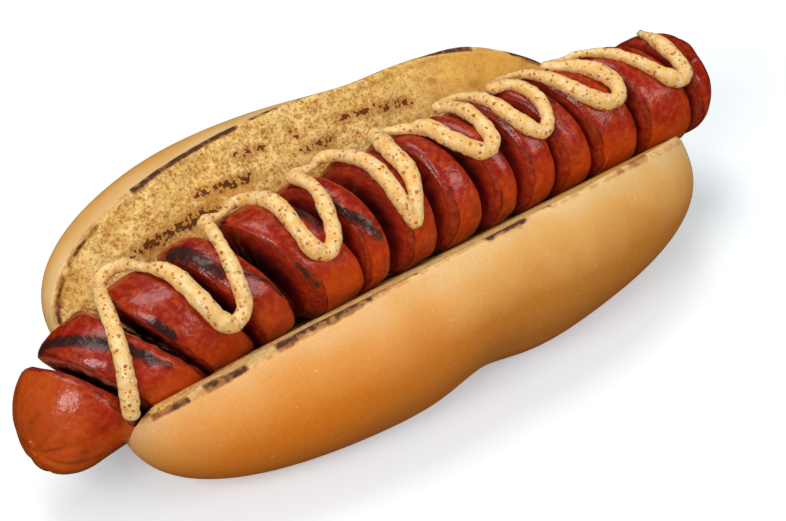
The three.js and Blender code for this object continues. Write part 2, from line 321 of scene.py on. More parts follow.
def in_space(half, x, w, t):
    """Turns x, w and t into a point: the face leans outwards from the hinge, and the crust is flat on the
    table."""
    lean = np.radians(half["lean"])
    y = half["side"] * (w * np.sin(lean) + t * np.cos(lean))
    z = HINGE_HEIGHT + w * np.cos(lean) - t * np.sin(lean)
    return np.stack([x, y, soft_floor(z, TABLE_SOFTNESS)], -1)


def seat_depth(half, x, w):
    """How deep the sausage presses into the cut face: the far side of the sausage's circle at that place, t
    = centre + sqrt(R^2 - distance^2), where that is more than 0."""
    y, z = axis_at(x)
    lean = np.radians(half["lean"])
    across = half["side"] * y
    above = z - HINGE_HEIGHT
    w_centre = across * np.sin(lean) + above * np.cos(lean)
    t_centre = across * np.cos(lean) - above * np.sin(lean)
    radius = radius_at(x) + SEAT_GAP
    reach = np.sqrt(np.maximum(0, radius**2 - (w - w_centre) ** 2))
    return soft_floor(np.where(reach > 0, t_centre + reach, -9), SEAT_SOFTNESS)


# %% [markdown]
# ### Crumb
# Cut bread is a foam: pale strands round small pits of uneven size. Cellular noise pushes the larger pits
# into the face, less where the sausage presses it smooth. The same depths are kept as an attribute, so that
# the pits can be painted darker than the strands between them, as painted shade in the hollows.


# %% Pores
def crumb_relief(half, x, w, seat):
    """Depth of the pores in millimetres: round pits of about 2.4 mm, plus a slow swell of the face."""
    place = np.stack([x, w], -1)
    bend = np.stack([waves(place, 5, 11), waves(place, 5, 12)], -1) * 0.45
    round_pits = smoothstep(0.62, 0.1, cells(place + bend, 2.4, 3 + half["side"]))
    open_part = smoothstep(0.0, 1.5, waves(place, 9, 13) + 1.2)
    pits = 0.1 * round_pits * (0.3 + 0.7 * open_part)
    pressed = 1 - 0.6 * smoothstep(0.4, 1.5, seat)
    return pits * pressed, 0.25 * waves(place, 12, 14)


# %% [markdown]
# ### Toast and burns
# The cut faces lay on the grill plate, which toasted them in broken bands and burnt parts of the thin rim. A
# few strokes listed for each half say where, and the material breaks them up into flecks.

# %% Strokes
TOAST = {  # on the cut face: from (x, up) to (x, up), reach and strength
    1: [
        (-50, 27, -42.5, 28, 3.0, 0.8), (-42.5, 28, -25.9, 29.2, 3.2, 1.0),
        (-27.8, 33.5, -14.3, 31.8, 2.7, 0.95), (-16.2, 37.6, -9.4, 36.7, 2.2, 0.85),
        (-2.2, 38.8, -0.7, 35.8, 2.0, 0.75), (-0.7, 32.7, 6.8, 32, 2.6, 0.9),
        (9.8, 35.7, 18.5, 34.7, 2.4, 0.9), (18.5, 34.7, 28.7, 32.7, 2.6, 0.9),
        (36, 35, 36.8, 34.6, 1.6, 0.7), (45.3, 30.4, 46.5, 30.2, 1.6, 0.6),
    ],
    -1: [(-44, 30, -30, 32, 1.6, 0.5)],
}
BURNS = {  # along the rim: from (x, distance past the rim) to (x, distance past the rim), reach and strength
    1: [
        (-40.5, -0.3, -13, -0.2, 1.1, 0.9), (-67, -0.8, -62.5, -0.8, 1.1, 0.75),
        (-60, -0.6, -51, -0.6, 0.9, 0.7), (-9, -0.1, -2, -0.1, 0.6, 0.6), (3.7, 0, 12, 0, 0.7, 0.75),
        (16, 0, 27, 0, 0.6, 0.7), (31, 0, 50, 0, 0.5, 0.7), (59, -0.3, 65, -0.4, 1.5, 0.9),
    ],
    -1: [
        (-56.1, -0.4, -48.5, -0.1, 0.9, 0.8), (-41.3, -0.4, -33.3, -0.7, 1.0, 0.9),
        (-33.2, -0.9, -20.8, -0.8, 2.0, 1.0), (-19.7, -1.0, -8.9, -1.0, 1.4, 0.85),
        (9.4, -0.4, 18.6, -0.5, 2.2, 1.0), (25, -0.8, 26.5, -0.8, 1.3, 0.75), (33, -0.9, 40, -0.9, 1.2, 0.7),
        (47.5, 0.0, 49, 0.0, 1.0, 0.6), (52.2, -0.9, 58.1, -0.9, 1.5, 0.9), (-66, 0.2, -60, 0.0, 0.8, 0.8),
    ],
}


def near_strokes(x, other, strokes):
    """Strength of the strongest of several strokes, each fading from its middle line to its reach."""
    total = np.zeros(x.shape)
    for x_from, other_from, x_to, other_to, reach, strength in strokes:
        run = np.array([x_to - x_from, other_to - other_from])
        share = np.clip(((x - x_from) * run[0] + (other - other_from) * run[1]) / (run @ run), 0, 1)
        distance = np.hypot(x - x_from - share * run[0], other - other_from - share * run[1])
        total = np.maximum(total, strength * smoothstep(reach, 0, distance))
    return total


# %% One half as a closed mesh
def bun_half(name, half):
    """Face columns and crust rings that share the rim ring. Point 0 is the +X end of the ring, the upper rim
    comes first and the hinge side after it."""
    columns = half["columns"]
    across = half["across"]
    around = 2 * columns
    angles = even_angles(half)
    ring_angles = np.concatenate([angles, -angles[-2:0:-1]])
    first_step = (half["edge"] / half["thickness"]) ** (DOME_EXPONENT / 2)
    s_from = np.arcsin(first_step) * 2 / np.pi
    s_steps = s_from + (LAST_RING - s_from) * np.linspace(0, 1, CRUST_RINGS) ** 1.25
    crust = np.stack(crust_points(half, ring_angles[None, :], s_steps[:, None]), -1)

    upper = crust[0, 1:columns]
    lower = crust[0, :columns:-1]
    share = np.linspace(0, 1, across + 1)[1:-1]
    share = 0.55 * share + 0.45 * (0.5 - 0.5 * np.cos(np.pi * share))
    face_xw = lower[:, None, :2] + (upper - lower)[:, None, :2] * share[None, :, None]
    x = face_xw[..., 0]
    w = face_xw[..., 1]
    width = (half["rim"] + HINGE_OVERLAP) / 2
    p = half["exponent"]
    u = np.clip(np.abs(x - half["middle"]) / half["half_length"], 1e-6, 1)
    v = np.clip(np.abs(w - half["rim"] + width) / width, 1e-6, 1.06)
    rho = (u**p + v**p) ** (1 / p)
    slope = rho ** (1 - p) * np.hypot(u ** (p - 1) / half["half_length"], v ** (p - 1) / width)
    inward = np.maximum(0, (1 - rho) / np.maximum(slope, 1e-6))
    edge = half["edge"]
    rounding = edge - np.sqrt(np.maximum(0, edge**2 - np.maximum(0, edge - inward) ** 2))
    seat = seat_depth(half, x, w)
    pores, swell = crumb_relief(half, x, w, seat)
    inside = smoothstep(0.3, 1.6, inward)
    t = bow_at(half, (x - half["middle"]) / half["half_length"], w) + rounding + (pores + swell) * inside
    t = np.where(w < 40, np.maximum(t, seat + 0.3 * pores), t)

    ring_points = in_space(half, crust[..., 0], crust[..., 1], crust[..., 2]).reshape(-1, 3)
    face_points = in_space(half, x, w, t).reshape(-1, 3)
    crown = ring_points[-around:].mean(0)[None]
    points = np.concatenate([ring_points, face_points, crown])

    first_face = len(ring_points)
    grid = np.arange(face_points.shape[0]).reshape(x.shape) + first_face
    low_ring = np.arange(2 * columns - 1, columns, -1)[:, None]
    high_ring = np.arange(1, columns)[:, None]
    grid = np.concatenate([low_ring, grid, high_ring], 1)
    face_quads = np.stack([grid[:-1, :-1], grid[1:, :-1], grid[1:, 1:], grid[:-1, 1:]], -1).reshape(-1, 4)
    right_end = np.stack([np.zeros(across, int), grid[0, :-1], grid[0, 1:]], -1)
    left_end = np.stack([np.full(across, columns), grid[-1, 1:], grid[-1, :-1]], -1)
    crust_quads = ring_quads(CRUST_RINGS, around)
    crown_fan = fan(np.arange(around) + (CRUST_RINGS - 1) * around, len(points) - 1)

    behind = np.cumsum(np.concatenate([
        np.zeros((1, around)), np.linalg.norm(np.diff(crust, axis=0), axis=-1),
    ]), 0)
    rim = np.concatenate([behind.ravel(), -inward.ravel(), [behind.max()]])
    pit = np.concatenate([np.zeros(len(ring_points)), (pores * inside).ravel(), [0]])
    along = np.concatenate([crust[..., 0].ravel(), x.ravel(), [half["middle"]]])
    up = np.concatenate([crust[..., 1].ravel(), w.ravel(), [0]])
    above_hinge = up > 12
    glow = np.exp(-(((along + 48) / 42) ** 2) - ((rim - 24) / 22) ** 2) * (half["side"] < 0)
    fields = {
        "rim": rim, "pit": pit, "glow": glow,
        "toast": near_strokes(along, up, TOAST[half["side"]]) * (rim < 0),
        "burn": near_strokes(along, rim, BURNS[half["side"]]) * above_hinge,
    }
    thing = make_object(name, points, np.concatenate([face_quads, crust_quads]),
                        np.concatenate([right_end, left_end, crown_fan]), fields)
    print(name, len(points), "points")
    return thing


near_half = bun_half("split_bun", NEAR_HALF)
far_half = bun_half("far_half", FAR_HALF)
bun = unite(near_half, far_half)
print("bun", len(bun.data.vertices), "points", [a.name for a in bun.data.attributes])

# %% [markdown]
# ## The sausage
# Grilling shrinks the skin, so each of the thirteen slits gapes and its lips curl in. A slice is one closed
# surface: the left cut face from its middle out to the lip, the skin from lip to lip, and the right cut face
# back to its middle. Slices and the uncut meat below them are then united, so the sausage is one piece as
# the real one is.

# %% Slits and slices
SLITS = [  # x on the axis, gap, yaw, lean and flare in degrees, from the -X end
    (-70.9, 2.2, 18, 25, 0), (-56.1, 2.0, 13, 30, 3), (-43.3, 2.9, 14, 23, 4), (-31.3, 5.4, 17, 15, 2),
    (-14.8, 1.4, 16, 8, 8), (-4.8, 5.0, 13, 1, 2), (7.4, 3.7, 12, 0, 3), (19.7, 4.2, 13, 3, 3),
    (29.4, 3.5, 13, 1, 3), (39.2, 2.5, 15, 0, 1), (49.6, 2.3, 15, 5, 1), (64.0, 3.2, 14, 3, 2),
    (80.3, 2.5, 14, 5, 1),
]
# How wide the skin is torn back beside each slice's left and right lip, each on the crest and low down
TORN = [
    (0, 0, 1.2, 2.8), (0.3, 0.4, 0.4, 0.5), (0.3, 0.5, 0.3, 0.3), (0.8, 0.6, 0.3, 0.4), (0.4, 3.2, 0.2, 0.2),
    (0.6, 0.9, 0.3, 0.3), (0.5, 1.1, 0.3, 0.3), (0.8, 1.6, 0.2, 0.3), (0.5, 1.0, 0.3, 0.3),
    (0.7, 1.1, 0.3, 0.2), (0.5, 1.2, 0.3, 0.3), (0.6, 1.0, 0.2, 0.3), (0.6, 0.9, 0.3, 0.3), (0.5, 0.8, 0, 0),
]
CHAR_MARKS = [  # from (x, degrees) to (x, degrees) on the skin, reach in mm and strength
    (-76.5, 52, -73.9, 79, 2.3, 1.0), (-73.9, 79, -69.3, 107, 2.4, 1.0), (-69.3, 107, -66.6, 118, 2.3, 1.0),
    (-66.6, 118, -62.7, 143, 1.9, 0.95), (-62.7, 143, -59.5, 158, 1.0, 0.7),
    (-58.8, 119, -56.6, 140, 1.5, 1.0), (-46, 66, -44.2, 96, 3.4, 0.95), (-44.2, 96, -42.4, 116, 2.6, 0.85),
    (-38.6, 124, -34.2, 143, 0.7, 0.9), (-34.2, 143, -31.8, 162, 0.6, 0.8), (-21, 84, -19.4, 106, 3.0, 0.95),
    (-19.4, 106, -18.3, 122, 2.2, 0.8), (-26.6, 141, -25, 157, 0.8, 0.8), (-25, 157, -23.5, 170, 1.4, 0.5),
    (-12.4, 110, -11.1, 124, 1.2, 0.95), (-11.1, 124, -8.4, 142, 1.8, 0.95), (-8.4, 142, -7, 153, 2.2, 0.7),
    (28.4, 131, 30.5, 150, 1.8, 0.62), (8.6, 114, 11.5, 146, 0.9, 0.6), (46, 92, 46.8, 112, 1.3, 0.6),
    (61, 104, 62.4, 130, 1.0, 0.6),
]
PUCKERS = [  # where the ends were tied: x, degrees, distance from the axis, reach, depth, folds
    (-86.3, 176, 4.6, 12, 1.5, 7), (91.5, 84, 7.0, 11, 2.0, 4),
]
DENTS = [  # folds and swellings of the two ends: x, degrees, distance from the axis, reach and depth
    (87.2, 127, 12.1, 2.1, 2.3), (86.8, 168, 11.7, 5.0, -1.0), (84.6, 200, 11.7, 4.0, -0.5),
    (-83.5, 236, 10.5, 1.7, 1.3), (-80.5, 262, 11, 5.0, 0.8),
]
AROUND_SAUSAGE = 128
SKIN_ROWS = 28
CUT_RINGS = 12
LIP_WIDTH = 2.2
LIP_DEPTH = 0.7
SPINE = {"radius": 6.2, "below": 6.6, "from": -78, "to": 84}  # the meat that the slits leave whole


def slit_wall_x(slit, wall, angle, radius):
    """x of a slit's wall, -1 for the one at -X: a plane swung by the yaw and tipped by the lean."""
    x, gap, yaw, lean, flare = slit
    across = np.tan(np.radians(yaw)) * radius * np.cos(angle)
    upward = np.tan(np.radians(lean - wall * flare)) * radius * np.sin(angle)
    return x + wall * gap / 2 - across - upward


def char_at(x, angle):
    """Strength of the grill marks, as strokes on the unrolled skin. At this radius a degree is 0.236 mm."""
    degree = np.radians(SAUSAGE_RADIUS)
    strokes = np.array(CHAR_MARKS) * [1, degree, 1, degree, 1, 1]
    return near_strokes(x, np.degrees(angle) * degree, strokes)


def pucker_depth(points):
    """The skin is gathered where each end was tied: creases that fan out from that place and fade with
    distance, from a high power of a wave of the direction, and a dimple in their middle."""
    depth = 0
    for x, degrees, off_axis, reach, deepest, folds in PUCKERS:
        away = points - on_sausage(np.float64(x), np.radians(degrees), off_axis)
        distance = np.linalg.norm(away, axis=-1)
        direction = np.arctan2(away[..., 2], away[..., 1])
        fold = np.abs(np.cos(direction * folds / 2 + 0.8 * np.sin(direction * 2 + x))) ** 9
        fade = np.clip(1 - distance / reach, 0, 1) ** 1.3
        depth = depth + deepest * (fade * fold + 0.6 * np.exp(-((distance / 1.6) ** 2)))
    for x, degrees, off_axis, reach, deepest in DENTS:
        away = points - on_sausage(np.float64(x), np.radians(degrees), off_axis)
        depth = depth + deepest * np.exp(-((away**2).sum(-1)) / reach**2)
    return depth


# %% One slice
def slice_surface(number):
    """Points, faces and fields of one slice. An end slice has the sausage's dome in place of a cut face."""
    before = SLITS[number - 1] if number > 0 else None
    after = SLITS[number] if number < len(SLITS) else None
    angle = 2 * np.pi * np.arange(AROUND_SAUSAGE) / AROUND_SAUSAGE
    rows = np.linspace(0, 1, SKIN_ROWS)
    skin_share = (0.35 * rows + 0.65 * (0.5 - 0.5 * np.cos(np.pi * rows)))[:, None]
    if before is None:
        skin_share = rows[:, None] ** 2.1
    if after is None:
        skin_share = 1 - (1 - rows[:, None]) ** 2.1
    start = slit_wall_x(before, 1, angle, SAUSAGE_RADIUS) if before else np.full_like(angle, SAUSAGE_FROM)
    end = slit_wall_x(after, -1, angle, SAUSAGE_RADIUS) if after else np.full_like(angle, SAUSAGE_TO)
    x = start + (end - start) * skin_share
    turn = np.broadcast_to(angle, x.shape)
    from_left = x - start if before else np.full_like(x, 99)
    from_right = end - x if after else np.full_like(x, 99)
    at_left, at_right = [np.maximum(0, 1 - distance / LIP_WIDTH) ** 2 for distance in (from_left, from_right)]
    curl = LIP_DEPTH * (at_left + at_right)
    ring_place = np.stack([x, np.cos(turn) * SAUSAGE_RADIUS, np.sin(turn) * SAUSAGE_RADIUS], -1)
    rough = waves(ring_place, 7, 40 + number)
    low = smoothstep(0.8, 0, np.sin(turn))
    crest_left, low_left, crest_right, low_right = TORN[number]
    wobble = 1 + 0.12 * rough
    left_tear = from_left - (crest_left + (low_left - crest_left) * low) * wobble
    right_tear = from_right - (crest_right + (low_right - crest_right) * low) * wobble
    tear = np.minimum(left_tear, right_tear)
    plump = 0.28 * np.sin(np.pi * skin_share) if before and after else 0
    peel = 0.22 * smoothstep(0.12, -0.2, tear) + 0.18 * np.maximum(0, -np.maximum(tear, -4))
    puckers = pucker_depth(on_sausage(x, turn, radius_at(x))) if before is None or after is None else 0
    char = char_at(x, turn)
    blister = char * (0.1 * waves(ring_place, 2.2, 60) - 0.12)
    radius = radius_at(x) - curl + plump - peel - puckers + blister + 0.1 * waves(ring_place, 7, 80)
    skin = on_sausage(x, turn, np.maximum(radius, 0.15))
    sides = [(skin, {"tear": tear, "char": char, "inward": 0 * x, "crest": np.sin(turn)})]
    for slit, wall in ((before, 1), (after, -1)):
        if slit is None:
            continue
        lip = radius[0] if wall == 1 else radius[-1]
        share = 1 - 0.94 * np.linspace(0, 1, CUT_RINGS)[1:, None] ** 1.6
        plane = slit_wall_x(slit, wall, angle, share * SAUSAGE_RADIUS)
        spot = np.stack([share * np.cos(angle), share * np.sin(angle)], -1) * SAUSAGE_RADIUS
        bulge = 0.35 * (1 - share**4) + 0.16 * waves(spot, 3.5, 90 + number) * smoothstep(1, 0.85, share)
        face_x = plane - wall * bulge
        face_turn = np.broadcast_to(angle, face_x.shape)
        face = on_sausage(face_x, face_turn, share * lip)
        fields = {
            "tear": -9 + 0 * face_x, "char": 0 * face_x, "inward": (1 - share) * SAUSAGE_RADIUS + 0 * face_x,
            "crest": share * np.sin(angle),
        }
        if wall == 1:
            sides.insert(0, (face[::-1], {key: value[::-1] for key, value in fields.items()}))
        else:
            sides.append((face, fields))
    rings = np.concatenate([points for points, _ in sides])
    merged = {key: np.concatenate([fields[key] for _, fields in sides]) for key in sides[0][1]}
    merged["slice"] = np.full(rings.shape[:2], number)
    return rings, merged


# %% All slices and the uncut meat
def closed_rings(name, rings, merged):
    """A closed object from rings of points, with a pole in the middle of the first and of the last ring."""
    count, around = rings.shape[:2]
    points = np.concatenate([rings.reshape(-1, 3), rings[0].mean(0)[None], rings[-1].mean(0)[None]])
    fields = {
        key: np.concatenate([value.ravel(), [value[0].mean()], [value[-1].mean()]])
        for key, value in merged.items()
    }
    first = fan(np.arange(around), count * around)[:, ::-1]
    last = fan(np.arange(around) + (count - 1) * around, count * around + 1)
    return make_object(name, points, ring_quads(count, around), np.concatenate([first, last]), fields)


def spine_surface():
    """The meat that the slits leave whole: a tube whose middle runs below the axis."""
    x = np.linspace(SPINE["from"], SPINE["to"], 80)[:, None]
    angle = 2 * np.pi * np.arange(48) / 48
    y, z = axis_at(x)
    scale = radius_at(x) / SAUSAGE_RADIUS
    across = y + SPINE["radius"] * scale * np.cos(angle)
    upward = z + scale * (SPINE["radius"] * np.sin(angle) - SPINE["below"])
    rings = np.stack([x + 0 * angle, across, upward], -1)
    blank = np.zeros(rings.shape[:2])
    return rings, {
        "tear": blank - 9, "char": blank, "inward": blank + 12, "crest": blank - 0.5, "slice": blank,
    }


slices = [closed_rings(f"slice_{number}", *slice_surface(number)) for number in range(len(SLITS) + 1)]
with bpy.context.temp_override(active_object=slices[0], selected_editable_objects=slices):
    bpy.ops.object.join()
sausage = slices[0]
sausage.name = "grilled_sausage"
unite(sausage, closed_rings("spine", *spine_surface()))
print("sausage", len(sausage.data.vertices), "points")

# %% [markdown]
# ## The mustard
# The strand was squeezed on in one go, swinging from side to side, so its path is one smooth curve through
# its turning points. Where it turns back at the far side it leaves a small knob and starts again thinner. A
# tube round that path cuts into itself at the tight turns, and a voxel remesh melts the overlaps together as
# real mustard does.

# %% Path and thickness
STRAND_LIFT = 0.72  # how far its middle lies above the skin, in radii
STRAND_FLAT = -0.8  # where its underside is flattened, in radii
STRAND_SPACING = 0.4
BEAD_AROUND = 20
VOXEL = 0.3
STRAND = [  # turning points: x, degrees round the sausage, height above the skin, radius of the strand
    (-70.3, 173, 0, 1.7), (-70.1, 166, 0, 1.9), (-68, 130, 0, 1.75), (-65.5, 95, 0, 1.65),
    (-63.5, 70, 0, 1.6), (-60.5, 43, 0.4, 1.6), (-58.5, 43, 1.4, 1.75), (-55, 43, 1.1, 1.6),
    (-53.5, 72, 0.4, 1.05), (-51, 95, 0, 1.8), (-49, 130, 0, 1.95), (-47.5, 147, 0, 2.0),
    (-45, 157, 0, 1.85), (-41.5, 152, 0, 1.6), (-40.5, 129, 0, 1.75), (-39, 97, 0, 1.4),
    (-37.5, 71, 0.1, 1.5), (-37, 64, 0.4, 1.6), (-33.5, 63, 0.8, 0.8), (-27, 47, 0.6, 1.45),
    (-24.5, 65, 0, 1.65), (-23.5, 88, 0, 1.9), (-23.5, 116, 0, 1.75), (-22.5, 137, 0, 1.95),
    (-20, 144, 0, 1.85), (-17.5, 138, 0, 1.7), (-15.5, 113, 0, 1.75), (-14, 89, 0, 1.45),
    (-14, 66, 0.1, 1.5), (-14, 58, 0.3, 1.6), (-9, 57, 0.8, 0.9), (-4.5, 47, 0.9, 1.45), (-2, 65, 0.1, 1.5),
    (-0.5, 91, 0, 1.75), (0, 115, 0, 1.8), (0.5, 138, 0, 1.75), (2, 156, 0, 1.5), (4, 137, 0, 1.6),
    (5.5, 117, 0, 1.95), (5.5, 90, 0, 2.0), (8.5, 54, 0.2, 1.9), (8.5, 46, 0.9, 1.7), (11, 63, 0.7, 1.1),
    (14.5, 73, 0.1, 1.4), (17, 85, 0, 1.95), (18.5, 105, 0, 1.95), (21.5, 121, 0, 1.9), (24, 128, 0, 1.85),
    (27, 124, 0, 1.8), (27.5, 106, 0, 1.75), (27.5, 83, 0, 1.65), (27, 63, 0.1, 1.45), (26, 54, 0.3, 1.55),
    (31, 48, 1.2, 0.9), (33, 59, 0.3, 1.3), (34, 85, 0, 1.55), (35, 111, 0, 1.85), (37.5, 128, 0, 1.8),
    (39.5, 133, 0, 1.7), (42, 127, 0, 1.5), (43.5, 110, 0, 1.6), (43.5, 90, 0, 1.55), (42, 71, 0.1, 1.4),
    (38.5, 68, 0.3, 1.5), (46.5, 49, 1.1, 0.8), (49, 67, 0.3, 1.2), (51, 95, 0, 1.7), (54, 118, 0, 1.9),
    (58.5, 132, 0, 1.9), (62, 131, 0, 1.65), (63, 119, 0, 1.85), (61.5, 104, 0, 2.0), (59, 88, 0, 1.7),
    (55.5, 72, 0.1, 1.3), (54, 66, 0.3, 1.3), (59, 60, 0.3, 0.8), (64.5, 66, 0.3, 1.0), (69, 86, 0, 1.35),
    (72.5, 108, 0, 1.45), (76, 128, 0, 1.8), (79, 137, 0, 1.9), (81.5, 135, 0, 1.6), (81.5, 121, 0, 1.75),
    (81, 98, 0, 1.8), (81.5, 73, 0.3, 0.9), (82, 64, 0.4, 0.55), (82.2, 61, 0.5, 0.4),
]


def blend(start, end, u, first, second):
    """The straight blend from first at u = start to second at u = end."""
    return (end - u) / (end - start) * first + (u - start) / (end - start) * second


def smooth_path(knots, spacing):
    """Points at even distances on a centripetal Catmull-Rom curve through the knots: the knots are spaced by
    the square root of their distance, and three rounds of straight blends give each point. The last column
    of the knots is carried along with the place."""
    ends = np.concatenate([[2 * knots[0] - knots[1]], knots, [2 * knots[-1] - knots[-2]]])
    ticks = np.concatenate([[0], np.cumsum(np.sqrt(np.linalg.norm(np.diff(ends[:, :3], axis=0), axis=1)))])
    pieces = []
    for k in range(1, len(ends) - 2):
        p = ends[k - 1:k + 3]
        s = ticks[k - 1:k + 3]
        u = np.linspace(s[1], s[2], 40, endpoint=False)[:, None]
        a = [blend(s[i], s[i + 1], u, p[i], p[i + 1]) for i in range(3)]
        b = [blend(s[i], s[i + 2], u, a[i], a[i + 1]) for i in range(2)]
        pieces.append(blend(s[1], s[2], u, b[0], b[1]))
    dense = np.concatenate(pieces + [knots[-1:]])
    length = np.concatenate([[0], np.cumsum(np.linalg.norm(np.diff(dense[:, :3], axis=0), axis=1))])
    even = np.linspace(0, length[-1], int(length[-1] / spacing))
    return np.stack([np.interp(even, length, dense[:, column]) for column in range(4)], -1), even


def strand_knots():
    """The strand's middle at each turning point, pressed a little into the skin, and its radius there."""
    x, degrees, height, radius = np.array(STRAND).T
    middle = on_sausage(x, np.radians(degrees), radius_at(x) + STRAND_LIFT * radius + height)
    return np.concatenate([middle, radius[:, None]], 1)


def strand_thickness(radius, distance):
    """The radius with small lumps in it, closing as a quarter circle at both ends."""
    size = radius * (0.97 + 0.03 * waves(distance[:, None], 6, 21) + 0.02 * waves(distance[:, None], 2.5, 22))
    from_end = np.minimum(distance, distance[-1] - distance)
    return size * np.sqrt(1 - (1 - np.clip(from_end / size, 0, 1)) ** 2 * 0.98)


# %% The strand
route, distance = smooth_path(strand_knots(), STRAND_SPACING)
path = route[:, :3]
tangent = np.gradient(path, axis=0)
tangent /= np.linalg.norm(tangent, axis=1, keepdims=True)
axis_y, axis_z = axis_at(path[:, 0])
outward = np.stack([0 * axis_y, path[:, 1] - axis_y, path[:, 2] - axis_z], -1)
across = np.cross(tangent, outward)
across /= np.linalg.norm(across, axis=1, keepdims=True)
upward = np.cross(across, tangent)
bead_angle = 2 * np.pi * np.arange(BEAD_AROUND) / BEAD_AROUND
bead = strand_thickness(route[:, 3], distance)[:, None, None]
bead_rings = path[:, None] + bead * (
    1.03 * np.cos(bead_angle)[None, :, None] * across[:, None]
    + np.maximum(np.sin(bead_angle), STRAND_FLAT)[None, :, None] * upward[:, None]
)
mustard = closed_rings("mustard_strand", bead_rings, {})
melt = mustard.modifiers.new("melt", "REMESH")
melt.mode = "VOXEL"
melt.voxel_size = VOXEL * MM
melt.use_smooth_shade = True
even_out = mustard.modifiers.new("even out", "SMOOTH")
even_out.factor = 0.5
even_out.iterations = 4
keep_modified(mustard)
surface = points_of(mustard)
push_along_normals(mustard, 0.035 * waves(surface, 2.2, 31) + 0.02 * waves(surface, 1.0, 32, 24))
print("mustard", len(mustard.data.vertices), "points")

# %% [markdown]
# ### Seed husks
# Wholegrain mustard holds bits of brown and orange husk, some of which stand out of the surface. Each bit is
# a flattened lump with twelve corners, and they are all joined in one mesh.


# %% Husks
HUSK_COUNT = 900
HUSK_SEED = 5
HUSK_FLATNESS = 0.35


def husks(count, seed):
    """Flat twelve-cornered lumps, half sunk in the mustard's surface at random points of it and from about
    0.2 to 0.8 mm wide. tone is a random number for each lump's colour."""
    rng = np.random.default_rng(seed)
    normals = np.zeros(len(mustard.data.vertices) * 3)
    mustard.data.vertices.foreach_get("normal", normals)
    pick = rng.choice(len(surface), count, replace=False)
    normal = normals.reshape(-1, 3)[pick]
    centre = points_of(mustard)[pick]
    guide = rng.normal(size=(count, 3))
    first = np.cross(normal, guide)
    first /= np.linalg.norm(first, axis=1, keepdims=True)
    second = np.cross(normal, first)
    golden = (1 + np.sqrt(5)) / 2
    corners = np.array([
        (-1, golden, 0), (1, golden, 0), (-1, -golden, 0), (1, -golden, 0), (0, -1, golden), (0, 1, golden),
        (0, -1, -golden), (0, 1, -golden), (golden, 0, -1), (golden, 0, 1), (-golden, 0, -1), (-golden, 0, 1),
    ]) / np.sqrt(1 + golden**2)
    faces = np.array([
        (0, 11, 5), (0, 5, 1), (0, 1, 7), (0, 7, 10), (0, 10, 11), (1, 5, 9), (5, 11, 4), (11, 10, 2),
        (10, 7, 6), (7, 1, 8), (3, 9, 4), (3, 4, 2), (3, 2, 6), (3, 6, 8), (3, 8, 9), (4, 9, 5), (2, 4, 11),
        (6, 2, 10), (8, 6, 7), (9, 8, 1),
    ])
    size = rng.uniform(0.15, 0.42, count) * rng.uniform(0.7, 1, count)
    stretch = rng.uniform(0.6, 1.5, count)
    length, width, height = [part[:, None] for part in (size * stretch, size, size * HUSK_FLATNESS)]
    axes = np.stack([first * length, second * width, normal * height], 1)
    lumps = centre[:, None] + np.einsum("kc,ncd->nkd", corners, axes)
    indices = (faces[None] + np.arange(count)[:, None, None] * len(corners)).reshape(-1, 3)
    tone = np.repeat(rng.uniform(0, 1, count), len(corners))
    return make_object("husks", lumps.reshape(-1, 3), np.zeros((0, 4), int), indices, {"tone": tone})


husk_bits = husks(HUSK_COUNT, HUSK_SEED)
print("husks", len(husk_bits.data.polygons), "faces")

# %% [markdown]
# ## Finishes
# Each material starts from what the surface is: baked crust, torn crumb, grilled skin, raw-cut meat, a
# grainy sauce. The numbers kept on the points say where each of these begins, and noise makes the borders
# ragged. Sizes of noise are given in millimetres on Object coordinates, so they stay true to scale.


# %% Nodes in one line each
def srgb(red, green, blue):
    """A colour given as screen values from 0 to 255, turned into the linear values that sockets take."""
    value = np.array([red, green, blue]) / 255
    linear = np.where(value < 0.04045, value / 12.92, ((value + 0.055) / 1.055) ** 2.4)
    return (*linear.tolist(), 1)


def put(tree, kind, inputs=None, **settings):
    """Adds a node. inputs maps a socket's name or number to a value or to another node's output."""
    node = tree.nodes.new(kind)
    for key, value in settings.items():
        setattr(node, key, value)
    for key, value in (inputs or {}).items():
        if isinstance(value, bpy.types.NodeSocket):
            tree.links.new(value, node.inputs[key])
        else:
            node.inputs[key].default_value = value
    return node


def field(tree, name):
    """The number that the mesh keeps on each point under this name."""
    return put(tree, "ShaderNodeAttribute", attribute_name=name).outputs["Fac"]


def rise(tree, value, low, high):
    """0 at low, 1 at high and smooth in between, also where low is the larger one."""
    inputs = {"Value": value, "From Min": low, "From Max": high}
    return put(tree, "ShaderNodeMapRange", inputs, interpolation_type="SMOOTHSTEP").outputs["Result"]


def math(tree, operation, *values):
    """One arithmetic step on its numbers."""
    return put(tree, "ShaderNodeMath", dict(enumerate(values)), operation=operation).outputs[0]


def times(tree, first, second):
    """The product of two numbers."""
    return math(tree, "MULTIPLY", first, second)


def mix(tree, amount, first, second):
    """A colour between the first and the second."""
    return put(tree, "ShaderNodeMix", {0: amount, 6: first, 7: second}, data_type="RGBA").outputs[2]


def over(tree, under, mask, share, red, green, blue):
    """A colour laid over another one where a mask is 1, covering at most a share of it."""
    return mix(tree, times(tree, mask, share), under, srgb(red, green, blue))


def noise(tree, place, size, detail=3.0):
    """Noise around 0.5 whose lumps have a size in millimetres."""
    inputs = {"Vector": place, "Scale": 1 / (size * MM), "Detail": detail}
    return put(tree, "ShaderNodeTexNoise", inputs).outputs[0]


def patches(tree, place, size, detail, low, high):
    """Soft patches: noise of a size in millimetres that rises from 0 to 1 between low and high."""
    return rise(tree, noise(tree, place, size, detail), low, high)


def shaken(tree, value, place, size, detail, reach):
    """A number moved up and down by noise of a size in millimetres, by up to half the reach."""
    centred = math(tree, "SUBTRACT", noise(tree, place, size, detail), 0.5)
    return math(tree, "MULTIPLY_ADD", centred, reach, value)


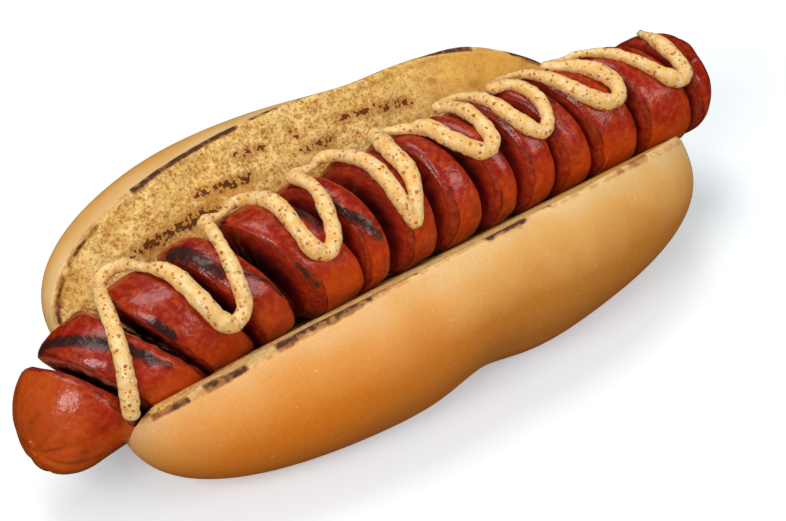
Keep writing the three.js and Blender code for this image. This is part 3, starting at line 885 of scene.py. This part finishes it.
def ramp(tree, value, stops):
    """A colour read off a scale of stops, each a place from 0 to 1 and the red, green and blue there."""
    node = put(tree, "ShaderNodeValToRGB", {0: value})
    marks = node.color_ramp.elements
    marks.remove(marks[1])
    marks[0].position = stops[0][0]
    marks[0].color = srgb(*stops[0][1:])
    for place, *colour in stops[1:]:
        marks.new(place).color = srgb(*colour)
    return node.outputs["Color"]


def bump(tree, height, depth, below=None):
    """A normal from a height of 0 to 1 that stands for a depth in millimetres, on top of another normal."""
    inputs = {"Height": height, "Distance": depth * MM, "Strength": 1.0}
    if below is not None:
        inputs["Normal"] = below
    return put(tree, "ShaderNodeBump", inputs).outputs["Normal"]


# %% [markdown]
# ### Two effects that several finishes share
# Pores in the crumb, seeds in the sauce and flour on the crust are all specks: some of the cells of a
# Voronoi pattern, with a ragged edge. Borders between brown and pale, or crust and crumb, are all a number
# pushed about by noise and then cut off. Each is a node group, made once.


# %% Shared groups
def new_group(name, inputs, outputs):
    """An empty node group with a vector and other named inputs, and its two end nodes."""
    group = bpy.data.node_groups.new(name, "ShaderNodeTree")
    group.interface.new_socket("Vector", in_out="INPUT", socket_type="NodeSocketVector")
    for direction, sockets in (("INPUT", inputs), ("OUTPUT", outputs)):
        for socket in sockets:
            group.interface.new_socket(socket, in_out=direction, socket_type="NodeSocketFloat")
    return group, group.nodes.new("NodeGroupInput").outputs, group.nodes.new("NodeGroupOutput").inputs


def specks_group():
    """Mask is 1 in a share of the cells, out to a reach from each centre. Tint is random for each cell."""
    group, given, result = new_group("specks", ["Scale", "Reach", "Share"], ["Mask", "Tint"])
    cell = put(group, "ShaderNodeTexVoronoi", {"Vector": given["Vector"], "Scale": given["Scale"]})
    parts = put(group, "ShaderNodeSeparateColor", {0: cell.outputs["Color"]}).outputs
    fray = {"Vector": given["Vector"], "Scale": times(group, given["Scale"], 2.3), "Detail": 2.0}
    frayed = times(group, put(group, "ShaderNodeTexNoise", fray).outputs[0], 0.5)
    frayed = math(group, "ADD", cell.outputs["Distance"], frayed)
    reach = times(group, given["Reach"], math(group, "ADD", parts[1], 0.45))
    edge = math(group, "SUBTRACT", math(group, "ADD", reach, 0.25), frayed)
    chosen = math(group, "LESS_THAN", parts[0], given["Share"])
    group.links.new(times(group, rise(group, edge, -0.03, 0.06), chosen), result["Mask"])
    group.links.new(parts[2], result["Tint"])
    return group


def ragged_group():
    """Mask rises from 0 to 1 as Value passes Edge, over a Width, after noise of a Reach has pushed Value
    about."""
    group, given, result = new_group("ragged_edge", ["Scale", "Value", "Edge", "Width", "Reach"], ["Mask"])
    push = {"Vector": given["Vector"], "Scale": given["Scale"], "Detail": 4.0}
    centred = math(group, "SUBTRACT", put(group, "ShaderNodeTexNoise", push).outputs[0], 0.5)
    pushed = math(group, "MULTIPLY_ADD", centred, times(group, given["Reach"], 2.0), given["Value"])
    half_width = times(group, given["Width"], 0.5)
    low = math(group, "SUBTRACT", given["Edge"], half_width)
    high = math(group, "ADD", given["Edge"], half_width)
    group.links.new(rise(group, pushed, low, high), result["Mask"])
    return group


SPECKS = specks_group()
RAGGED = ragged_group()


def specks(tree, place, spacing, reach, share):
    """Mask and tint of specks that lie a spacing in millimetres apart."""
    inputs = {"Vector": place, "Scale": 1 / (spacing * MM), "Reach": reach, "Share": share}
    return put(tree, "ShaderNodeGroup", inputs, node_tree=SPECKS).outputs


def ragged(tree, place, size, value, edge, width, reach):
    """A ragged border where a value passes an edge, frayed by noise of a size in millimetres."""
    inputs = {"Vector": place, "Scale": 1 / (size * MM)}
    inputs |= {"Value": value, "Edge": edge, "Width": width, "Reach": reach}
    return put(tree, "ShaderNodeGroup", inputs, node_tree=RAGGED).outputs["Mask"]


def new_finish(name, sockets):
    """A material with the sockets of its shader that are the same all over. Also its tree, shader and
    coordinates."""
    finish = bpy.data.materials.new(name)
    finish.use_nodes = True
    tree = finish.node_tree
    shader = tree.nodes["Principled BSDF"]
    for socket, value in sockets.items():
        shader.inputs[socket].default_value = value
    place = put(tree, "ShaderNodeTexCoord").outputs["Object"]
    return finish, tree, shader, place


def dress(piece, finish):
    """Gives a piece its one material."""
    piece.data.materials.clear()
    piece.data.materials.append(finish)
    print(piece.name, "wears", finish.name, "of", len(finish.node_tree.nodes), "nodes")


# %% [markdown]
# ### Bread
# Crust browns most where the oven's heat reaches it, low on the outside, and stays pale beside the cut; the
# darkest, reddest brown at the very bottom is partly painted shade under the bun. Crumb is cream with darker
# pits, their darkness painted shade in the hollows, and a hot plate toasts its highest strands in flecks. The
# rim is thin, so it burns first. Places along and across the bun are in metres here, as Object coordinates
# are.


# %% Bread
def bread_finish():
    finish, tree, shader, place = new_finish("bread", {
        "Subsurface Weight": 0.1, "Subsurface Scale": 0.0015, "IOR": 1.4, "Specular IOR Level": 0.18,
    })
    rim, pit, toast, burn, glow = [field(tree, name) for name in ("rim", "pit", "toast", "burn", "glow")]
    along, back = put(tree, "ShaderNodeSeparateXYZ", {0: place}).outputs[:2]

    # Pale beside the cut, browner further behind it; the darkest stop at the bottom is partly real browning,
    # partly painted shade under the bun.
    browned = shaken(tree, rim, place, 14, 2.0, 14.0)
    crust = ramp(tree, math(tree, "DIVIDE", browned, 60.0), [
        (0.0, 246, 206, 142), (0.1, 236, 178, 98), (0.27, 210, 134, 48), (0.5, 212, 126, 40),
        (0.75, 214, 114, 42), (1.0, 190, 92, 36),
    ])
    crust = over(tree, crust, glow, 0.85, 240, 126, 4)
    fine = patches(tree, place, 1.1, 4.0, 0.3, 0.75)
    crust = over(tree, crust, fine, 0.1, 236, 186, 116)
    sand = patches(tree, place, 0.45, 3.0, 0.35, 0.7)
    crust = over(tree, crust, sand, 0.12, 170, 96, 36)
    flour = specks(tree, place, 1.5, 0.1, 0.22)["Mask"]
    crust = over(tree, crust, flour, 0.35, 250, 232, 200)

    # The crumb's pits and the noise patches named shade are painted golden-brown: painted shade in the pores.
    small_pits = specks(tree, place, 0.6, 0.42, 0.85)["Mask"]
    large_pits = specks(tree, place, 0.95, 0.36, 0.7)["Mask"]
    shade = patches(tree, place, 1.6, 3.0, 0.35, 0.7)
    pits = math(tree, "MAXIMUM", times(tree, small_pits, 0.7), large_pits)
    hollow = math(tree, "ADD", times(tree, pits, 0.55), times(tree, shade, 0.45))
    smooth_part = rise(tree, along, 0.01, 0.05)
    hollow = times(tree, hollow, math(tree, "SUBTRACT", 1.0, times(tree, smooth_part, 0.6)))
    crumb = mix(tree, hollow, srgb(255, 222, 142), srgb(190, 112, 30))
    # Darker where the mesh's pits are deepest: painted shade in the hollows.
    crumb = over(tree, crumb, rise(tree, pit, 0.0, 0.1), 0.25, 202, 136, 54)
    yellow = times(tree, patches(tree, place, 11, 2.0, 0.35, 0.7), 0.35)
    yellow = math(tree, "MAXIMUM", yellow, times(tree, smooth_part, 0.7))
    crumb = mix(tree, yellow, crumb, srgb(226, 158, 44))
    warm = times(tree, ragged(tree, place, 3.0, toast, 0.3, 0.6, 0.4), rise(tree, toast, 0.0, 0.15))
    crumb = over(tree, crumb, warm, 0.5, 182, 112, 40)
    flecks = times(tree, ragged(tree, place, 0.95, toast, 0.85, 0.16, 1.15), rise(tree, toast, 0.05, 0.3))
    crumb = over(tree, crumb, flecks, 0.92, 92, 42, 14)

    # The near half's crumb strip just inside the rim: torn woolly crumb, painted a greyer beige as painted
    # shade from the sausage beside it.
    near_side = rise(tree, back, -0.004, -0.01)
    woolly_and_shaded_strip = times(tree, rise(tree, rim, -4.0, -1.5), near_side)
    woolly_and_shaded_strip = times(tree, woolly_and_shaded_strip, rise(tree, along, -0.068, -0.058))
    crumb = over(tree, crumb, woolly_and_shaded_strip, 0.7, 200, 168, 120)
    right_near = times(tree, rise(tree, along, -0.045, -0.015), near_side)
    on_crust = ragged(tree, place, 0.8, math(tree, "ADD", rim, right_near), -0.15, 0.5, 0.35)
    bread = mix(tree, on_crust, crumb, crust)
    from_rim = math(tree, "ABSOLUTE", math(tree, "ADD", rim, -0.1))
    torn = times(tree, rise(tree, from_rim, 0.55, 0.1), patches(tree, place, 2.5, 4.0, 0.4, 0.6))
    bread = over(tree, bread, torn, 0.5, 190, 118, 60)
    burning = rise(tree, burn, 0.03, 0.3)
    scorched = times(tree, ragged(tree, place, 2.6, burn, 0.34, 0.5, 0.6), burning)
    bread = over(tree, bread, scorched, 0.75, 158, 88, 40)
    burnt = times(tree, ragged(tree, place, 1.7, burn, 0.66, 0.36, 0.8), burning)
    bread = over(tree, bread, burnt, 0.88, 64, 40, 34)
    tree.links.new(bread, shader.inputs["Base Color"])

    rough = math(tree, "SUBTRACT", 0.9, times(tree, on_crust, 0.42))
    rough = math(tree, "MULTIPLY_ADD", fine, 0.12, rough)
    tree.links.new(rough, shader.inputs["Roughness"])

    off_crust = math(tree, "SUBTRACT", 1.0, on_crust)
    foam = math(tree, "SUBTRACT", 1.0, hollow)
    grain = bump(tree, times(tree, foam, off_crust), 0.28)
    grain = bump(tree, times(tree, noise(tree, place, 0.35), off_crust), 0.05, grain)
    skin = bump(tree, times(tree, noise(tree, place, 1.0, 5.0), on_crust), 0.09, grain)
    tree.links.new(skin, shader.inputs["Normal"])
    return finish


dress(bun, bread_finish())


# %% [markdown]
# ### Grilled sausage
# The skin is thin, tight and greasy: orange-brown low on the side, deeper red on top, black where it touched
# the grill. Where it has torn back, brighter meat shows. The cut faces are wet red meat, painted darker the
# deeper they lie in the slit, which is painted shade. Each slice has its own number, which makes some of them
# redder. The second one's cut face is painted paler than the others', as painted light reaching into its
# slit.


# %% Sausage
def sausage_finish():
    finish, tree, shader, place = new_finish("grilled_skin", {
        "Subsurface Weight": 0.05, "Subsurface Scale": 0.001, "IOR": 1.4, "Specular IOR Level": 0.4,
        "Coat Weight": 0.5, "Coat Roughness": 0.12,
    })
    names = ("crest", "tear", "inward", "char", "slice")
    crest, tear, inward, char, number = [field(tree, name) for name in names]

    pushed = shaken(tree, crest, place, 7, 3.0, 0.9)
    skin = ramp(tree, rise(tree, pushed, -0.7, 1.1), [
        (0.0, 194, 78, 4), (0.35, 196, 66, 3), (0.6, 186, 42, 3), (0.85, 166, 26, 4), (1.0, 150, 20, 4),
    ])
    own = put(tree, "ShaderNodeTexWhiteNoise", {"W": number}, noise_dimensions="1D").outputs["Value"]
    own = times(tree, own, rise(tree, number, 0.2, 0.8))
    skin = over(tree, skin, own, 0.5, 146, 20, 5)
    mottle = patches(tree, place, 1.3, 5.0, 0.4, 0.7)
    skin = over(tree, skin, mottle, 0.38, 218, 98, 24)
    along = put(tree, "ShaderNodeSeparateXYZ", {0: place}).outputs[0]
    skin = over(tree, skin, rise(tree, along, -0.076, -0.087), 0.6, 214, 92, 14)
    dark_mottle = patches(tree, place, 3.4, 4.0, 0.55, 0.75)
    skin = over(tree, skin, dark_mottle, 0.4, 104, 18, 8)

    meat = mix(tree, patches(tree, place, 1.2, 4.0, 0.35, 0.7), srgb(140, 28, 10), srgb(176, 56, 22))
    # Cut faces go from red meat at the lip to near black further in: the meat's own red plus painted shade
    # deep in the slit.
    deep = ramp(tree, math(tree, "DIVIDE", inward, 10.0), [
        (0.0, 196, 68, 34), (0.2, 162, 38, 14), (0.55, 104, 15, 6), (1.0, 38, 6, 4),
    ])
    # The second slice's cut face is painted paler near its lip: painted light, standing in for light that
    # reaches into its slit.
    second = times(tree, rise(tree, number, 0.5, 0.9), rise(tree, number, 1.5, 1.1))
    second = times(tree, second, rise(tree, inward, 6.5, 0.5))
    deep = over(tree, deep, second, 0.75, 236, 136, 96)
    off_skin = rise(tree, tear, 0.08, -0.12)
    colour = mix(tree, off_skin, skin, meat)
    colour = mix(tree, rise(tree, inward, 0.05, 0.9), colour, deep)
    line = rise(tree, math(tree, "ABSOLUTE", tear), 0.22, 0.03)
    line = times(tree, line, patches(tree, place, 4.0, 3.0, 0.42, 0.62))
    colour = over(tree, colour, line, 0.8, 44, 12, 8)
    browned = ragged(tree, place, 2.4, char, 0.34, 0.5, 0.5)
    colour = over(tree, colour, browned, 0.75, 84, 22, 12)
    charred = ragged(tree, place, 1.6, char, 0.62, 0.4, 0.8)
    colour = over(tree, colour, charred, 0.85, 40, 16, 12)
    tree.links.new(colour, shader.inputs["Base Color"])

    dull = math(tree, "MAXIMUM", charred, rise(tree, inward, 0.5, 3.0))
    rough = math(tree, "MULTIPLY_ADD", dull, 0.25, 0.3)
    rough = math(tree, "MULTIPLY_ADD", patches(tree, place, 2.2, 4.0, 0.3, 0.75), 0.22, rough)
    tree.links.new(rough, shader.inputs["Roughness"])

    wrinkles = bump(tree, noise(tree, place, 2.6, 4.0), 0.24)
    pores = bump(tree, noise(tree, place, 0.8), 0.09, wrinkles)
    meat_grain = bump(tree, times(tree, noise(tree, place, 0.9, 5.0), off_skin), 0.35, pores)
    blisters = bump(tree, times(tree, noise(tree, place, 1.3, 4.0), browned), 0.35, meat_grain)
    tree.links.new(blisters, shader.inputs["Normal"])
    tree.links.new(pores, shader.inputs["Coat Normal"])
    return finish


dress(sausage, sausage_finish())


# %% [markdown]
# ### Mustard
# Ground seeds in a pale sauce: cream yellow that lets a little light through, with brown and orange specks
# of two sizes just under the surface, and husks that stand out of it.


# %% Mustard
def mustard_finish():
    finish, tree, shader, place = new_finish("wholegrain_mustard", {
        "Subsurface Weight": 0.4, "Subsurface Scale": 0.0014, "Roughness": 0.25, "IOR": 1.45,
    })
    tint = patches(tree, place, 1.6, 4.0, 0.3, 0.72)
    sauce = mix(tree, tint, srgb(250, 192, 108), srgb(255, 222, 162))
    small = specks(tree, place, 0.55, 0.3, 0.3)
    large = specks(tree, place, 1.15, 0.3, 0.4)
    sauce = over(tree, sauce, small["Mask"], 0.6, 214, 144, 62)
    shell = mix(tree, large["Tint"], srgb(160, 84, 30), srgb(216, 130, 48))
    sauce = mix(tree, times(tree, large["Mask"], 0.75), sauce, shell)
    tree.links.new(sauce, shader.inputs["Base Color"])
    lumps = bump(tree, noise(tree, place, 0.9, 4.0), 0.24)
    grains = bump(tree, large["Mask"], 0.06, lumps)
    tree.links.new(grains, shader.inputs["Normal"])
    return finish


def husk_finish():
    finish, tree, shader, place = new_finish("mustard_husk", {"Roughness": 0.4, "IOR": 1.45})
    colour = ramp(tree, field(tree, "tone"), [
        (0.0, 178, 92, 34), (0.3, 204, 114, 40), (0.7, 224, 142, 58), (1.0, 238, 176, 96),
    ])
    colour = over(tree, colour, noise(tree, place, 0.3), 0.2, 110, 54, 24)
    tree.links.new(colour, shader.inputs["Base Color"])
    return finish


dress(mustard, mustard_finish())
dress(husk_bits, husk_finish())

# %% Attaching the pieces
PIECES = [(bun, "bun"), (sausage, "sausage"), (mustard, "mustard"), (husk_bits, "mustard")]
for piece, node in PIECES:
    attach(piece, "root")
    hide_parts(node)

# %% [markdown]
# ## Floor and light
# The food lies on a white surface. The main light hangs above and a little behind it, a second one from the
# left makes the skin gleam, and a weak one from the front right opens the shadows. The floor glows faintly,
# which keeps its shadow pale. Neither the floor nor the white world is seen in reflections, where they would
# veil the skin.

# %% Floor
FLOOR_REACH = 3  # metres
floor_corners = [(x * FLOOR_REACH, y * FLOOR_REACH, 0) for x, y in ((-1, -1), (1, -1), (1, 1), (-1, 1))]
floor_mesh = bpy.data.meshes.new("floor")
floor_mesh.from_pydata(floor_corners, [], [(0, 1, 2, 3)])
floor = bpy.data.objects.new("floor", floor_mesh)
bpy.context.scene.collection.objects.link(floor)
floor_finish = bpy.data.materials.new("pale_floor")
floor_finish.use_nodes = True
floor_sockets = floor_finish.node_tree.nodes["Principled BSDF"].inputs
floor_sockets["Base Color"].default_value = (0.9, 0.9, 0.9, 1)
floor_sockets["Roughness"].default_value = 0.8
floor_sockets["Emission Color"].default_value = (0.76, 0.92, 1, 1)
floor_sockets["Emission Strength"].default_value = 0.3
floor.visible_glossy = False
floor.visible_diffuse = False
floor_mesh.materials.append(floor_finish)

# %% Lights
LIGHT_AIM = (0, 0, 20)
LIGHTS = [  # name, place in millimetres, size in millimetres and power in watts
    ("key", (-20, 220, 600), 380, 1.65),
    ("sheen", (-450, -210, 400), 240, 1.65),
    ("fill", (230, -400, 330), 260, 0.85),
]
for name, place, size, power in LIGHTS:
    light = bpy.data.lights.new(name, "AREA")
    light.size = size * MM
    light.energy = power
    lamp = bpy.data.objects.new(name, light)
    bpy.context.scene.collection.objects.link(lamp)
    lamp.location = Vector(np.array(place) * MM)
    lamp.rotation_euler = (Vector(place) - Vector(LIGHT_AIM)).to_track_quat("Z", "Y").to_euler()
world = bpy.data.worlds.new("world")
bpy.context.scene.world = world
world.use_nodes = True
background = world.node_tree.nodes["Background"].inputs
background["Color"].default_value = (1, 1, 1, 1)
background["Strength"].default_value = 0.28
world.cycles_visibility.glossy = False
bpy.context.scene.view_settings.view_transform = "Standard"
print("lights:", [name for name, *_ in LIGHTS], "and a white world")
